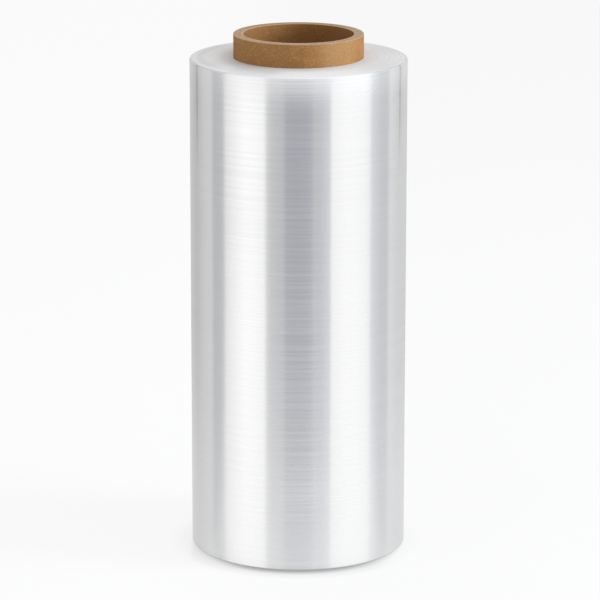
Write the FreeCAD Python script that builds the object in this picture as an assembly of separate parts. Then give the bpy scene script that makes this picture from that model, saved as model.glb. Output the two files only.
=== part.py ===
import FreeCAD, Part
import math
import os

# A roll of clear stretch wrap, standing on its end.
# Plastic film is wound tightly on a cardboard core tube. The tube is flush with the winding at
# the bottom and stands out bare above it at the top, where a hand or a dispenser takes hold.
# The frame has its origin at the middle of the foot, with +Z up along the roll's axis.
# All sizes are in millimetres.

# Core tube
core_bore = 77.0           # inside diameter, for a three-inch spindle
core_wall = 6.9            # thickness of the glued paper plies
core_stand_out = 16.4      # bare tube above the winding
core_edge_bevel = 0.4      # the saw leaves the tube's edges a little broken

# Winding
film_width = 350.0         # width of the film, from rim to rim of the winding
film_build = 30.4          # thickness of all the turns on the core
rim_bevel = 1.4            # the outermost turns slip back a little at both rims
end_crown = 0.6            # the first turns stand this far past the last ones at each end
top_flare = 0.5            # the film's thick top edge builds up past the rest
top_flare_height = 9.0

# The turns show on both ends as rings
ring_pitch = 3.6           # radial distance from ring to ring
ring_depth = 0.3           # deepest groove between two rings
ring_depth_least = 0.1     # shallowest groove between two rings
uneven_turn = 2.4          # angle in radians that makes one groove differ from the next

# Sizes that follow from those above
bore_radius = core_bore / 2
core_radius = bore_radius + core_wall
side_radius = core_radius + film_build
rim_radius = side_radius + top_flare
winding_height = film_width + 2 * end_crown
core_length = winding_height + core_stand_out


def point(radius, height):
    """A point of an outline, in the plane that is spun about the roll's axis."""
    return FreeCAD.Vector(radius, 0, height)


def spun(outline):
    """The solid that a closed outline of straight edges sweeps in one turn about the roll's axis."""
    face = Part.Face(Part.makePolygon(outline + outline[:1]))
    return face.revolve(FreeCAD.Vector(0, 0, 0), FreeCAD.Vector(0, 0, 1), 360)


def core_tube():
    """The cardboard tube: plain, open from end to end, with slightly broken edges."""
    bevel = core_edge_bevel
    return spun([
        point(bore_radius + bevel, 0),
        point(core_radius - bevel, 0),
        point(core_radius, bevel),
        point(core_radius, core_length - bevel),
        point(core_radius - bevel, core_length),
        point(bore_radius + bevel, core_length),
        point(bore_radius, core_length - bevel),
        point(bore_radius, bevel),
    ])


def groove_depth(index):
    """How deep one groove between two rings is: it varies from groove to groove."""
    share = 0.5 + 0.5 * math.sin(uneven_turn * index)
    return ring_depth_least + (ring_depth - ring_depth_least) * share


def end_rings(outer_radius):
    """One end of the winding, from the core out to outer_radius, as (radius, depth) pairs.

    Depth is counted from the plane of the first turns. The end falls away from the core to the
    rim, and each ring has a groove at its middle, between two crests.
    """
    ring_count = max(1, round((outer_radius - core_radius) / ring_pitch))
    pitch = (outer_radius - core_radius) / ring_count
    fall = end_crown / ring_count
    profile = [(core_radius, 0)]
    for ring in range(ring_count):
        middle = ring + 0.5
        profile.append((core_radius + pitch * middle, fall * middle + groove_depth(ring)))
        profile.append((core_radius + pitch * (ring + 1), fall * (ring + 1)))
    return profile


def wound_film():
    """All the turns of film as one solid, with rings on both ends and a flared top edge."""
    bottom_rim = end_crown
    top_rim = winding_height - end_crown
    bottom = [point(r, depth) for r, depth in end_rings(side_radius - rim_bevel)]
    top = [point(r, winding_height - depth) for r, depth in end_rings(rim_radius - rim_bevel)]
    side = [
        point(side_radius, bottom_rim + rim_bevel),
        point(side_radius, top_rim - top_flare_height),
        point(rim_radius, top_rim - rim_bevel),
    ]
    return spun(bottom + side + top[::-1])


os.makedirs("parts", exist_ok=True)
core_tube().exportStep("parts/core_tube.step")
wound_film().exportStep("parts/wound_film.step")
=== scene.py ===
import math
import random

import bmesh
import bpy
from mathutils import Matrix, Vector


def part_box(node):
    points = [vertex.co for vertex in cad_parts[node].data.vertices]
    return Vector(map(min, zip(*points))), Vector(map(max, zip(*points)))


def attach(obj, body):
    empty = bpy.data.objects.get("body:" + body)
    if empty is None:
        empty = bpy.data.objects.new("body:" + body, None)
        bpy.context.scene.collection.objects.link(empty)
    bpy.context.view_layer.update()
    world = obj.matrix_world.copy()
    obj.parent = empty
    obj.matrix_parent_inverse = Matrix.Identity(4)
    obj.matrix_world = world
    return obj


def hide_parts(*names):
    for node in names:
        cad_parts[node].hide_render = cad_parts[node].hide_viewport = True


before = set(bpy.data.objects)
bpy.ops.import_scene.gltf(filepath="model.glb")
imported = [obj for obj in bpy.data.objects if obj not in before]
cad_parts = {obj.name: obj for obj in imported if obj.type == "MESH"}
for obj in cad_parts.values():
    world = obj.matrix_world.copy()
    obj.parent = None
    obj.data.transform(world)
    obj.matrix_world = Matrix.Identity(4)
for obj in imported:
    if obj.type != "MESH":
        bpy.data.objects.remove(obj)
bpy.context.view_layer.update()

# The core is a tube of brown kraft board. Paper plies are wound on a mandrel in a spiral and
# glued, and a saw cuts the tube to length, which leaves the ends paler and a little broken.
# The outermost and the innermost ply each show a fine spiral seam where its edges meet.
core_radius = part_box("core_tube")[1].x
core_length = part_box("core_tube")[1].z
core_wall = 0.0069
core_bore = core_radius - core_wall
core_bevel = 0.0004
core_sides = 96
core_rows = 180
ply_count = 8
ply_step = 0.00007           # how much one ply's cut edge stands past the next one's
spiral_lead = 0.146          # rise of a ply in one turn round the mandrel
outer_seam_azimuth = 152     # where the outer seam reaches the top, in degrees, 0 at +X
inner_seam_azimuth = -62     # where the inner seam reaches the top
seam_half_width = 0.00030
seam_depth = 0.00016


def select_edges(mesh, test):
    """Selects the edges that pass the test, and nothing else."""
    for part in list(mesh.faces) + list(mesh.edges) + list(mesh.verts):
        part.select = False
    for edge in mesh.edges:
        if test(edge):
            edge.select_set(True)


def is_upright(edge):
    """True for an edge that runs along the roll's axis."""
    rise = abs(edge.verts[0].co.z - edge.verts[1].co.z)
    return rise > 0.9 * edge.calc_length()


def radius_at(vertex):
    """How far a vertex lies from the roll's axis."""
    return math.hypot(vertex.co.x, vertex.co.y)


def azimuth_at(vertex):
    """The direction in which a vertex lies from the roll's axis, in degrees."""
    return math.degrees(math.atan2(vertex.co.y, vertex.co.x))


def turn_between(first, second):
    """The smaller angle between two directions, in degrees."""
    return abs((first - second + 180) % 360 - 180)


bpy.ops.object.select_all(action="DESELECT")
bpy.ops.mesh.primitive_cylinder_add(
    vertices=core_sides,
    radius=core_radius,
    depth=core_length,
    end_fill_type="NOTHING",
    location=(0, 0, core_length / 2),
)
core = bpy.context.object
core.name = core.data.name = "kraft_core"
bpy.ops.object.transform_apply(location=True, rotation=True, scale=True)
wall = core.modifiers.new("glued plies", "SOLIDIFY")
wall.thickness = core_wall
wall.offset = -1
wall.use_even_offset = True
bpy.ops.object.modifier_apply(modifier=wall.name)

bpy.ops.object.mode_set(mode="EDIT")
bpy.ops.mesh.select_mode(type="EDGE")
mesh = bmesh.from_edit_mesh(core.data)
select_edges(mesh, lambda e: abs(radius_at(e.verts[0]) - radius_at(e.verts[1])) > core_wall / 2)
bpy.ops.mesh.subdivide(number_cuts=ply_count - 1)

# Each ply's cut edge stands a hair past its neighbour's or short of it.
mesh = bmesh.from_edit_mesh(core.data)
for vertex in mesh.verts:
    ply = round((core_radius - radius_at(vertex)) / core_wall * ply_count)
    if 0 < ply < ply_count:
        inwards = 1 if vertex.co.z < core_length / 2 else -1
        vertex.co.z += inwards * ply_step * (0.5 + 0.5 * math.sin(2.2 * ply))
select_edges(mesh, is_upright)
bmesh.update_edit_mesh(core.data)
bpy.ops.mesh.subdivide(number_cuts=core_rows - 1)

# The seams are cut as straight grooves, which the twist below turns into spirals.
whole_twist = 360 * core_length / spiral_lead
side_angle = 360 / core_sides
for radius, azimuth in ((core_radius, outer_seam_azimuth), (core_bore, inner_seam_azimuth)):
    straight_azimuth = round((azimuth - whole_twist) / side_angle) * side_angle
    mesh = bmesh.from_edit_mesh(core.data)
    select_edges(mesh, lambda e: (
        is_upright(e)
        and abs(radius_at(e.verts[0]) - radius) < core_wall / 4
        and turn_between(azimuth_at(e.verts[0]), straight_azimuth) < side_angle / 3
    ))
    bpy.ops.mesh.bevel(offset=seam_half_width, segments=2, affect="EDGES")
    mesh = bmesh.from_edit_mesh(core.data)
    towards_board = -1 if radius == core_radius else 1
    for vertex in mesh.verts:
        in_seam = turn_between(azimuth_at(vertex), straight_azimuth) < 0.02
        if in_seam and abs(radius_at(vertex) - radius) < core_wall / 4:
            share = 1 + towards_board * seam_depth / radius
            vertex.co.x *= share
            vertex.co.y *= share
    bmesh.update_edit_mesh(core.data)

mesh = bmesh.from_edit_mesh(core.data)
select_edges(mesh, lambda e: (
    len(e.link_faces) == 2
    and e.calc_face_angle() > math.radians(60)
    and not is_upright(e)
))
bpy.ops.mesh.bevel(offset=core_bevel, segments=3, affect="EDGES")
bpy.ops.mesh.select_all(action="SELECT")
bpy.ops.mesh.remove_doubles(threshold=2e-6)
bpy.ops.mesh.normals_make_consistent(inside=False)
bpy.ops.object.mode_set(mode="OBJECT")
spiral = core.modifiers.new("spiral", "SIMPLE_DEFORM")
spiral.deform_method = "TWIST"
spiral.deform_axis = "Z"
spiral.angle = math.radians(whole_twist)
bpy.ops.object.modifier_apply(modifier=spiral.name)
bpy.ops.object.shade_smooth_by_angle(angle=math.radians(45))


def wired(tree, kind, settings, inputs):
    """Adds a shader node. An input is a number, a colour, a vector or another node's output."""
    node = tree.nodes.new("ShaderNode" + kind)
    for name, value in settings.items():
        setattr(node, name, value)
    for name, value in inputs.items():
        if isinstance(value, bpy.types.NodeSocket):
            tree.links.new(value, node.inputs[name])
        else:
            node.inputs[name].default_value = value
    return node


def sum_of(tree, first, second):
    return wired(tree, "Math", {"operation": "ADD"}, {0: first, 1: second}).outputs[0]


def product_of(tree, first, second):
    return wired(tree, "Math", {"operation": "MULTIPLY"}, {0: first, 1: second}).outputs[0]


def difference_of(tree, first, second):
    return wired(tree, "Math", {"operation": "SUBTRACT"}, {0: first, 1: second}).outputs[0]


def without_sign(tree, value):
    return wired(tree, "Math", {"operation": "ABSOLUTE"}, {0: value}).outputs[0]


def length_of(tree, vector):
    return wired(tree, "VectorMath", {"operation": "LENGTH"}, {0: vector}).outputs["Value"]


def step_up(tree, value, low, high, bottom=0.0, top=1.0):
    """Runs smoothly from bottom to top while the value goes from low to high."""
    return wired(tree, "MapRange", {"interpolation_type": "SMOOTHSTEP"}, {
        "Value": value, "From Min": low, "From Max": high, "To Min": bottom, "To Max": top,
    }).outputs["Result"]


def tinted(tree, share, plain, mixed):
    """Goes from one colour to another by a share from 0 to 1."""
    node = wired(tree, "Mix", {"data_type": "RGBA"}, {"Factor": share})
    for name, colour in (("A", plain), ("B", mixed)):
        socket = [s for s in node.inputs if s.name == name and s.type == "RGBA"][0]
        if isinstance(colour, bpy.types.NodeSocket):
            tree.links.new(colour, socket)
        else:
            socket.default_value = (*colour, 1)
    return [s for s in node.outputs if s.type == "RGBA"][0]


# Streaks is a noise drawn out round the roll, for paper fibres and for the film's gauge lines.
streaks = bpy.data.node_groups.new("streaks round the roll", "ShaderNodeTree")
for label in ("Position", "Round", "Across", "Detail"):
    kind = "NodeSocketVector" if label == "Position" else "NodeSocketFloat"
    streaks.interface.new_socket(label, in_out="INPUT", socket_type=kind)
streaks.interface.new_socket("Streaks", in_out="OUTPUT", socket_type="NodeSocketFloat")
given = streaks.nodes.new("NodeGroupInput")
shrink = wired(streaks, "CombineXYZ", {}, {
    "X": given.outputs["Round"], "Y": given.outputs["Round"], "Z": given.outputs["Across"]})
drawn = wired(streaks, "VectorMath", {"operation": "MULTIPLY"}, {
    0: given.outputs["Position"], 1: shrink.outputs[0]})
noise = wired(streaks, "TexNoise", {"noise_dimensions": "3D"}, {
    "Vector": drawn.outputs[0], "Scale": 1.0, "Detail": given.outputs["Detail"], "Roughness": 0.6})
spread = step_up(streaks, noise.outputs[0], 0.28, 0.72)
given_back = streaks.nodes.new("NodeGroupOutput")
streaks.links.new(spread, given_back.inputs["Streaks"])


def streaks_in(tree, position, round_the_roll, across, detail=3.0):
    """Places the streaks in a material, with so many of them in a metre each way."""
    node = tree.nodes.new("ShaderNodeGroup")
    node.node_tree = streaks
    tree.links.new(position, node.inputs["Position"])
    node.inputs["Round"].default_value = round_the_roll
    node.inputs["Across"].default_value = across
    node.inputs["Detail"].default_value = detail
    return node.outputs["Streaks"]


board = bpy.data.materials.new("kraft board")
board.use_nodes = True
tree = board.node_tree
place = tree.nodes.new("ShaderNodeTexCoord").outputs["Object"]
x, y, z = wired(tree, "SeparateXYZ", {}, {0: place}).outputs
flat = wired(tree, "CombineXYZ", {}, {"X": x, "Y": y})
radius = length_of(tree, flat.outputs[0])
mottle = streaks_in(tree, place, 70, 90)
fibres = streaks_in(tree, place, 650, 1100)
flecks = streaks_in(tree, place, 1300, 1700)
brown = tinted(tree, mottle, (0.320, 0.156, 0.052), (0.370, 0.190, 0.071))
# The outside carries a painted sheen, paler at the right where the key light falls on it.
painted_sheen = step_up(tree, x, 0.010, 0.022)
painted_sheen = product_of(tree, painted_sheen, step_up(tree, x, 0.034, 0.042, 1.0, 0.0))
outermost = step_up(tree, radius, core_radius - 0.0010, core_radius - 0.0005, 0.0, 0.9)
painted_sheen = product_of(tree, painted_sheen, outermost)
brown = tinted(tree, painted_sheen, brown, (0.40, 0.235, 0.100))
brown = tinted(tree, step_up(tree, fibres, 0.45, 1.0, 0.0, 0.50), brown, (0.50, 0.30, 0.13))
brown = tinted(tree, step_up(tree, flecks, 0.55, 1.0, 0.0, 0.50), brown, (0.20, 0.09, 0.03))
# The sawn ends are paler, with a darker line of glue between two plies, and browner at the back.
from_middle = difference_of(tree, z, core_length / 2)
from_middle = without_sign(tree, from_middle)
sawn = step_up(tree, from_middle, core_length / 2 - 0.00042, core_length / 2 - 0.00012)
ply_place = difference_of(tree, core_radius, radius)
ply_place = product_of(tree, ply_place, ply_count / core_wall)
in_ply = wired(tree, "Math", {"operation": "PINGPONG"}, {0: ply_place, 1: 0.5}).outputs[0]
glue = step_up(tree, in_ply, 0.0, 0.14, 1.0, 0.0)
pale = tinted(tree, fibres, (0.46, 0.31, 0.185), (0.61, 0.435, 0.285))
pale = tinted(tree, step_up(tree, flecks, 0.5, 1.0, 0.0, 0.35), pale, (0.27, 0.165, 0.085))
pale = tinted(tree, product_of(tree, glue, 0.40), pale, (0.28, 0.165, 0.09))
pale = tinted(tree, step_up(tree, y, 0.012, 0.036, 0.0, 0.55), pale, (0.36, 0.22, 0.12))
# The inner lip carries a painted highlight where its edge catches the light, palest most of all at the
# front.
lip_highlight = step_up(tree, radius, core_bore + 0.0004, core_bore + 0.0014, 0.8, 0.0)
lip_highlight = product_of(tree, lip_highlight, step_up(tree, y, -0.037, -0.022, 1.0, 0.35))
pale = tinted(tree, lip_highlight, pale, (0.80, 0.62, 0.43))
# Painted shade darkens the innermost ply in the bore: most at the right, least at the left where the key
# light reaches in, and more again at the far left.
inside = step_up(tree, radius, core_bore + 0.0002, core_bore + 0.0006, 0.36, 0.0)
inside = product_of(tree, inside, step_up(tree, x, -0.020, 0.010, 0.25, 1.0))
inside = product_of(tree, inside, step_up(tree, x, -0.038, -0.031, 3.2, 1.0))
brown = tinted(tree, inside, brown, (0.16, 0.06, 0.01))
colour = tinted(tree, sawn, brown, pale)
relief = sum_of(tree, product_of(tree, fibres, 0.6), product_of(tree, flecks, 0.4))
bump = wired(tree, "Bump", {}, {"Strength": 0.55, "Distance": 0.00012, "Height": relief})
paper = tree.nodes["Principled BSDF"]
tree.links.new(colour, paper.inputs["Base Color"])
tree.links.new(bump.outputs[0], paper.inputs["Normal"])
tree.links.new(step_up(tree, fibres, 0.0, 1.0, 0.70, 0.90), paper.inputs["Roughness"])
paper.inputs["Specular IOR Level"].default_value = 0.1
core.data.materials.append(board)
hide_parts("core_tube")
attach(core, "root")

# The winding is one long web of thin clear plastic film, pulled tight round the core. With so
# many turns on each other it looks silvery, and the film's uneven gauge draws fine lines round
# the side. Each turn ends a hair above or below the last, which draws the rings on the ends.
film_inner = core_radius
film_outer = 0.0758
film_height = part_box("wound_film")[1].z
film_crown = 0.0006          # the innermost turns stand this far past the outermost
rim_round = 0.0014
flare = 0.0002               # the film's thick top edge builds up
flare_height = 0.016
flare_curve = 2.2            # how much of the flare lies close to the edge
film_sides = 144
ring_cuts = 47
side_cuts = (99, 3)
rim_band = 0.003             # the rows this near a rim are cut finer
rim_cuts = 3
band_change = 0.000004       # how fast the side's radius wanders from line to line
band_memory = 0.86           # the share of it that one line keeps of the last
line_change = 0.000003
side_inset = 0.00004         # room for the lines inside the winding's size
ring_change = 0.000026       # how far one ring stands from the next
ring_memory = 0.55
side_wander = 0.00010        # how far the side leaves the round, in broad patches
wander_size = 0.045
crease_azimuth = 67.3        # degrees from the front, to the left and to the right
random.seed(7)


def on_side(edge):
    """True for the part of the section that becomes the winding's side."""
    return is_upright(edge) and min(v.co.x for v in edge.verts) > film_outer - 1e-6


bpy.ops.object.select_all(action="DESELECT")
bpy.ops.mesh.primitive_plane_add(
    size=1,
    location=((film_inner + film_outer) / 2, 0, film_height / 2),
    rotation=(math.pi / 2, 0, 0),
)
film = bpy.context.object
film.name = film.data.name = "film_winding"
film.scale = (film_outer - film_inner, film_height, 1)
bpy.ops.object.transform_apply(location=True, rotation=True, scale=True)
bpy.ops.object.mode_set(mode="EDIT")
bpy.ops.mesh.select_mode(type="EDGE")
bpy.ops.mesh.select_all(action="SELECT")
bpy.ops.mesh.delete(type="ONLY_FACE")
select_edges(bmesh.from_edit_mesh(film.data), lambda e: not is_upright(e))
bpy.ops.mesh.subdivide(number_cuts=ring_cuts)
for cuts in side_cuts:
    select_edges(bmesh.from_edit_mesh(film.data), on_side)
    bpy.ops.mesh.subdivide(number_cuts=cuts)
select_edges(bmesh.from_edit_mesh(film.data), lambda e: (
    on_side(e) and abs(e.verts[0].co.z - film_height / 2) > film_height / 2 - rim_band))
bpy.ops.mesh.subdivide(number_cuts=rim_cuts)

# The section's side gets its lines and flare, and its ends get their rings.
mesh = bmesh.from_edit_mesh(film.data)
side = sorted((v for v in mesh.verts if v.co.x > film_outer - 1e-6), key=lambda v: v.co.z)
ends = [v for v in mesh.verts if film_inner + 1e-6 < v.co.x < film_outer - 1e-6]
band = 0.0
for vertex in side:
    band = band_memory * band + random.uniform(-band_change, band_change)
    below_top = film_height - film_crown - vertex.co.z
    spread = flare * max(0.0, 1 - max(below_top, 0) / flare_height) ** flare_curve
    vertex.co.x += band + random.uniform(-line_change, line_change) + spread - side_inset
    from_rim = min(vertex.co.z - film_crown, below_top)
    if from_rim < rim_round:
        left = rim_round - max(from_rim, 0)
        vertex.co.x -= rim_round - math.sqrt(rim_round ** 2 - left ** 2)
        if from_rim < 0:
            vertex.co.z += -from_rim if vertex.co.z < film_height / 2 else from_rim
for is_top in (False, True):
    level = 0.0
    reach = film_outer - rim_round + (flare if is_top else 0) - film_inner
    ring_line = [v for v in ends if (v.co.z > film_height / 2) == is_top]
    for vertex in sorted(ring_line, key=lambda v: v.co.x):
        share = (vertex.co.x - film_inner) / (film_outer - film_inner)
        level = ring_memory * level + random.gauss(0, ring_change)
        drop = film_crown * share + max(0.0, level + ring_change)
        vertex.co.x = film_inner + share * reach
        vertex.co.z += -drop if is_top else drop
bmesh.update_edit_mesh(film.data)
bpy.ops.mesh.select_all(action="SELECT")
bpy.ops.mesh.spin(steps=film_sides, angle=2 * math.pi, center=(0, 0, 0), axis=(0, 0, 1))
bpy.ops.mesh.select_all(action="SELECT")
bpy.ops.mesh.remove_doubles(threshold=1e-6)
bpy.ops.mesh.normals_make_consistent(inside=False)
bpy.ops.object.mode_set(mode="OBJECT")

# The turns aren't quite round, so the side wanders a little.
side_group = film.vertex_groups.new(name="side")
side_points = [v.index for v in film.data.vertices if radius_at(v) > film_outer - 0.0004]
side_group.add(side_points, 1.0, "REPLACE")
wander = bpy.data.textures.new("wander", "CLOUDS")
wander.noise_scale = wander_size
wandering = film.modifiers.new("wander", "DISPLACE")
wandering.texture = wander
wandering.texture_coords = "LOCAL"
wandering.vertex_group = "side"
wandering.strength = side_wander
wandering.mid_level = 0.6
bpy.ops.object.modifier_apply(modifier=wandering.name)
film.vertex_groups.clear()
bpy.ops.object.shade_smooth_by_angle(angle=math.radians(50))
# The material tells the ends from the side by this mark.
end_mark = film.data.attributes.new("end", "FLOAT", "POINT")
end_mark.data.foreach_set("value", [
    0.0 if radius_at(v) > film_outer - 0.0009 else 1.0 for v in film.data.vertices])


def larger_of(tree, first, second):
    return wired(tree, "Math", {"operation": "MAXIMUM"}, {0: first, 1: second}).outputs[0]


def between(tree, share, first, second):
    """Goes from one value to another by a share from 0 to 1."""
    return wired(tree, "Mix", {"data_type": "FLOAT"}, {0: share, 2: first, 3: second}).outputs[0]


def scaled(tree, value, bottom, top):
    """Runs straight from bottom to top while the value goes from 0 to 1."""
    return wired(tree, "MapRange", {}, {"Value": value, "To Min": bottom, "To Max": top}).outputs["Result"]


def grey(tone):
    """A colour with no hue."""
    return (tone, tone, tone)


stretch = bpy.data.materials.new("stretch film")
stretch.use_nodes = True
tree = stretch.node_tree
place = tree.nodes.new("ShaderNodeTexCoord").outputs["Object"]
x, y, z = wired(tree, "SeparateXYZ", {}, {0: place}).outputs
flat = wired(tree, "CombineXYZ", {}, {"X": x, "Y": y})
radius = length_of(tree, flat.outputs[0])
end = wired(tree, "Attribute", {"attribute_name": "end"}, {}).outputs["Fac"]
# The turns' lines follow the height on the side and the radius on the ends.
across = between(tree, end, z, radius)
turns = wired(tree, "CombineXYZ", {}, {"X": x, "Y": y, "Z": across}).outputs[0]
fine_lines = streaks_in(tree, turns, 9, 950, 0.0)
broad_lines = streaks_in(tree, turns, 5, 300, 0.0)
patches = streaks_in(tree, turns, 9, 9, 0.0)
# Some turns lie a little deeper and look darker, most of all in the upper half.
deep_turns = streaks_in(tree, turns, 4, 520, 0.0)
deep_turns = product_of(tree, deep_turns, step_up(tree, z, 0.20, 0.26, 0.25, 1.0))
deep_turns = product_of(tree, deep_turns, step_up(tree, x, -0.060, -0.050, 0.3, 1.0))
deep_turns = product_of(tree, deep_turns, step_up(tree, x, -0.025, 0.0, 1.0, 0.35))
silver = tinted(tree, deep_turns, grey(0.845), grey(0.81))
# The web has a faint crease at the left and one at the right, which run down from the top rim.
to_front = product_of(tree, y, -1)
round_side = wired(tree, "Math", {"operation": "ARCTAN2"}, {0: x, 1: to_front}).outputs[0]
round_side = without_sign(tree, round_side)
beside_crease = difference_of(tree, round_side, math.radians(crease_azimuth))
beside_crease = without_sign(tree, beside_crease)
crease = step_up(tree, beside_crease, 0.008, 0.032, 1.0, 0.0)
crease = larger_of(tree, crease, step_up(tree, beside_crease, 0.02, 0.15, 0.22, 0.0))
crease = product_of(tree, crease, step_up(tree, z, 0.27, 0.335, 0.0, 1.0))
crease = product_of(tree, crease, step_up(tree, broad_lines, 0.0, 0.6, 0.78, 1.0))
silver = tinted(tree, crease, silver, grey(0.54))
# An end carries painted light and shade: it is painted whiter at the front and greyer at the right.
milky = tinted(tree, fine_lines, grey(0.965), grey(0.865))
painted_shade_right = step_up(tree, x, 0.025, 0.065)
milky = tinted(tree, painted_shade_right, milky, grey(0.80))
painted_light_front = step_up(tree, y, -0.068, -0.040, 1.0, 0.0)
painted_light_front = product_of(tree, painted_light_front, step_up(tree, x, -0.035, 0.0, 0.0, 1.0))
milky = tinted(tree, painted_light_front, milky, grey(0.98))
# A painted shadow of the core darkens a patch of the end near the core, at the front left.
core_shadow = step_up(tree, x, -0.052, -0.040)
core_shadow = product_of(tree, core_shadow, step_up(tree, x, -0.022, -0.006, 1.0, 0.0))
core_shadow = product_of(tree, core_shadow, step_up(tree, y, -0.045, -0.030, 0.9, 0.0))
core_shadow = product_of(tree, core_shadow, step_up(tree, radius, 0.059, 0.069, 1.0, 0.2))
milky = tinted(tree, core_shadow, milky, grey(0.73))
# Painted shade, with a faint painted reflection of the brown core, darkens the end next to the core, more
# at the left.
shade_by_core = step_up(tree, radius, film_inner - 0.003, film_inner + 0.015, 1.0, 0.0)
shade_by_core = product_of(tree, shade_by_core, step_up(tree, x, 0.0, 0.03, 1.0, 0.5))
milky = tinted(tree, shade_by_core, milky, (0.695, 0.69, 0.685))
# What is milky on the side carries painted shade: it is whiter at the left than at the right.
shaded_side_milk = tinted(tree, step_up(tree, x, -0.040, 0.045), grey(0.97), grey(0.78))
milky = tinted(tree, end, shaded_side_milk, milky)
# The film's edges build up milky, on the ends and for a little way below the top rim, and fine
# milky lines run round the side, more of them in some patches than in others.
below_top = difference_of(tree, film_height, z)
haze = step_up(tree, below_top, 0.0, 0.034, 0.78, 0.0)
haze = product_of(tree, haze, haze)
haze = larger_of(tree, haze, step_up(tree, below_top, 0.0010, 0.0025, 1.0, 0.0))
haze = product_of(tree, haze, step_up(tree, y, -0.90 * film_outer, -0.65 * film_outer, 1.0, 0.25))
# The milky lines carry painted light: they show most at the front, where they stand for light scattered
# into the dark middle of the side. At the foot more of them are painted, a painted reflection of the white
# sweep, most of all at the front and left.
painted_line_light = step_up(tree, y, -0.992 * film_outer, -0.975 * film_outer, 1.0, 0.5)
painted_line_light = product_of(tree, painted_line_light, step_up(tree, y, -0.95 * film_outer, -0.80 * film_outer, 1.0, 0.5))
painted_line_light = product_of(tree, painted_line_light, step_up(tree, z, 0.02, 0.06, 0.25, 1.0))
painted_line_light = product_of(tree, painted_line_light, step_up(tree, z, 0.15, 0.26, 1.0, 0.5))
foot_reflection_lines = step_up(tree, z, 0.008, 0.016, 0.65, 0.0)
foot_reflection_lines = product_of(tree, foot_reflection_lines, step_up(tree, x, 0.020, 0.050, 1.0, 0.15))
painted_line_light = larger_of(tree, painted_line_light, foot_reflection_lines)
line_milk = product_of(tree, fine_lines, step_up(tree, patches, 0.0, 1.0, 0.16, 0.26))
line_milk = product_of(tree, line_milk, painted_line_light)
milkiness = larger_of(tree, end, haze)
milkiness = sum_of(tree, milkiness, line_milk)
relief = sum_of(tree, product_of(tree, fine_lines, 0.25), product_of(tree, broad_lines, 0.45))
bump = wired(tree, "Bump", {}, {"Strength": 1.0, "Distance": 0.000012, "Height": relief})
film_gloss = tree.nodes["Principled BSDF"]
tree.links.new(tinted(tree, milkiness, silver, milky), film_gloss.inputs["Base Color"])
tree.links.new(scaled(tree, milkiness, 0.89, 0.05), film_gloss.inputs["Metallic"])
side_rough = step_up(tree, patches, 0, 1, 0.19, 0.20)
tree.links.new(between(tree, end, side_rough, 0.46), film_gloss.inputs["Roughness"])
tree.links.new(bump.outputs[0], film_gloss.inputs["Normal"])
film_gloss.inputs["Specular IOR Level"].default_value = 0.05
film_gloss.inputs["Anisotropic"].default_value = 1.0
film_gloss.inputs["Anisotropic Rotation"].default_value = 0.25
film.data.materials.append(stretch)
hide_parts("wound_film")
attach(film, "root")

# The roll stands on a plain white sweep of matt paper. A glow stands for the studio's fill light
# and is weakest where the roll shades it. The roll's gloss only shows the sweep near the foot,
# because the rest of the studio's floor is dim.
bpy.ops.object.select_all(action="DESELECT")
bpy.ops.mesh.primitive_plane_add(size=24, location=(0, 0, 0))
sweep = bpy.context.object
sweep.name = "white_sweep"
sweep_paper = bpy.data.materials.new("white paper")
sweep_paper.use_nodes = True
tree = sweep_paper.node_tree
tree.nodes.clear()
matt = wired(tree, "BsdfDiffuse", {}, {"Color": (*grey(0.16), 1)})
place = tree.nodes.new("ShaderNodeTexCoord").outputs["Object"]
x, y = wired(tree, "SeparateXYZ", {}, {0: place}).outputs[:2]
away = length_of(tree, place)
forward = wired(tree, "VectorMath", {"operation": "ADD"}, {0: place, 1: (0, 0.006, 0)}).outputs[0]
forward = length_of(tree, forward)
sideways = without_sign(tree, x)
least = step_up(tree, sideways, 0.030, 0.065, 0.34, 0.50)
glow = step_up(tree, forward, film_outer - 0.008, film_outer + 0.0015, least, 0.68)
beside = step_up(tree, x, 0.050, 0.072, 0.0, 0.11)
beside = sum_of(tree, beside, step_up(tree, x, -0.078, -0.0735, 0.08, 0.0))
glow = sum_of(tree, glow, step_up(tree, away, film_outer + 0.001, film_outer + 0.018, beside, 0.13))
glow = sum_of(tree, glow, step_up(tree, x, -0.12, 0.03, 0.02, 0.0))
ray = tree.nodes.new("ShaderNodeLightPath")
in_front = step_up(tree, y, -0.072, -0.020, 1.0, 0.0)
in_gloss = scaled(tree, in_front, -0.09, 0.22)
glow = sum_of(tree, glow, product_of(tree, ray.outputs["Is Glossy Ray"], in_gloss))
lit = wired(tree, "Emission", {}, {"Strength": glow})
white = wired(tree, "AddShader", {}, {0: matt.outputs[0], 1: lit.outputs[0]})
nothing = wired(tree, "BsdfTransparent", {}, {})
gone = product_of(tree, step_up(tree, away, 0.06, 0.70, 0.47, 1.0), ray.outputs["Is Glossy Ray"])
mixed = wired(tree, "MixShader", {}, {0: gone, 1: white.outputs[0], 2: nothing.outputs[0]})
wired(tree, "OutputMaterial", {}, {"Surface": mixed.outputs[0]})
sweep.data.materials.append(sweep_paper)

# Plain soft light comes from all round. A tall white softbox stands on each side of the camera,
# with a dim gap between them, and the walls behind are half as bright.
studio = bpy.data.worlds.new("studio")
bpy.context.scene.world = studio
studio.use_nodes = True
tree = studio.node_tree
tree.nodes.clear()
place = tree.nodes.new("ShaderNodeTexCoord").outputs["Generated"]
x, y, z = wired(tree, "SeparateXYZ", {}, {0: place}).outputs
to_camera = product_of(tree, y, -1)
turn = wired(tree, "Math", {"operation": "ARCTAN2"}, {0: x, 1: to_camera}).outputs[0]
turn = wired(tree, "MapRange", {}, {"Value": turn, "From Min": -math.pi, "From Max": math.pi})
walls = wired(tree, "ValToRGB", {}, {"Fac": turn.outputs["Result"]})
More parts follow.
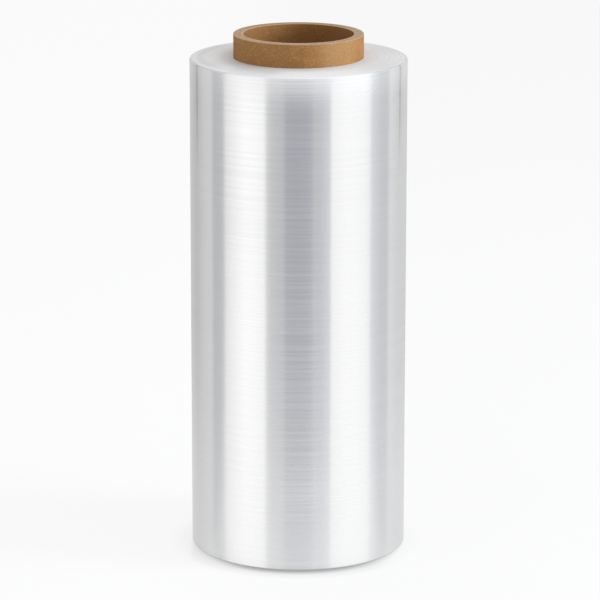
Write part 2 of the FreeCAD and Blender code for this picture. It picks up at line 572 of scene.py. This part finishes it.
# How bright the studio is, by degrees from the camera, counted to the right.
wall_tones = [
    (-180, 0.66), (-138, 0.52), (-118, 0.66), (-104.6, 0.70), (-103.0, 0.50), (-92, 0.56),
    (-86.2, 0.63), (-84.6, 0.92), (-74, 1.07), (-60, 1.25), (-50, 1.25), (-36.2, 1.16),
    (-34.6, 0.84), (-30, 0.66), (-15.2, 0.54), (-13.6, 0.43), (-3, 0.40), (8, 0.41), (14.2, 0.46),
    (15.8, 0.55), (23, 0.58), (33.8, 0.75), (35.4, 1.09), (52, 1.17), (66, 1.14), (82, 1.03),
    (83.6, 0.76), (98, 0.585), (110.8, 0.54), (112.4, 0.73), (133, 0.62), (180, 0.58),
]
# Where a wall is a little bluer than white, and by how much.
cool_walls = [
    (-104, -86, 0.025), (-34.6, -14.4, 0.017), (-14.4, 15.0, 0.073), (15.0, 34.5, 0.035), (83, 112, 0.025),
]
stops = walls.color_ramp.elements
for azimuth, _ in wall_tones[1:-1]:
    stops.new((azimuth + 180) / 360)
for stop, (azimuth, tone) in zip(stops, wall_tones):
    stop.position = (azimuth + 180) / 360
    coolness = sum(share for start, end, share in cool_walls if start < azimuth < end)
    stop.color = (tone / 2 * (1 - coolness), tone / 2 * (1 - coolness / 2), tone / 2 * (1 + coolness), 1)
ceiling = step_up(tree, z, 0.60, 0.85)
all_round = tinted(tree, ceiling, walls.outputs["Color"], grey(0.38))
below = step_up(tree, z, -0.62, -0.42)
all_round = tinted(tree, below, grey(0.06), all_round)
surround = wired(tree, "Background", {}, {"Color": all_round, "Strength": 2.0})
beyond = wired(tree, "Background", {}, {"Color": (*grey(0.973), 1)})
ray = tree.nodes.new("ShaderNodeLightPath")
mixed = wired(tree, "MixShader", {}, {
    0: ray.outputs["Is Camera Ray"], 1: surround.outputs[0], 2: beyond.outputs[0]})
wired(tree, "OutputWorld", {}, {"Surface": mixed.outputs[0]})

# A soft key light stands at the right.
bpy.ops.object.light_add(type="AREA", location=(1.66, -0.32, 0.75))
key = bpy.context.object
key.name = "key_softbox"
key.visible_glossy = False
key.data.shape = "SQUARE"
key.data.size = 0.7
key.data.energy = 23
key.data.color = (0.94, 0.985, 1.08)
key.rotation_euler = (math.radians(77), 0, math.radians(79))
bpy.context.scene.view_settings.view_transform = "Standard"

# The camera looks down a little on the roll, from the photograph's angle. It stands well back
# and has a long lens, because the photograph shows hardly any perspective.
camera_place = (0.0012, -2.448, 0.7989)
camera_down = 14.26          # degrees below level
camera_lean = 0.07
bpy.ops.object.camera_add()
camera = bpy.context.object
camera.data.sensor_width = 36
camera.data.lens = 214.5
camera.data.clip_end = 60
camera.matrix_world = (
    Matrix.Translation(camera_place)
    @ Matrix.Rotation(math.radians(90 - camera_down), 4, "X")
    @ Matrix.Rotation(math.radians(camera_lean), 4, "Z")
)
bpy.context.scene.camera = camera
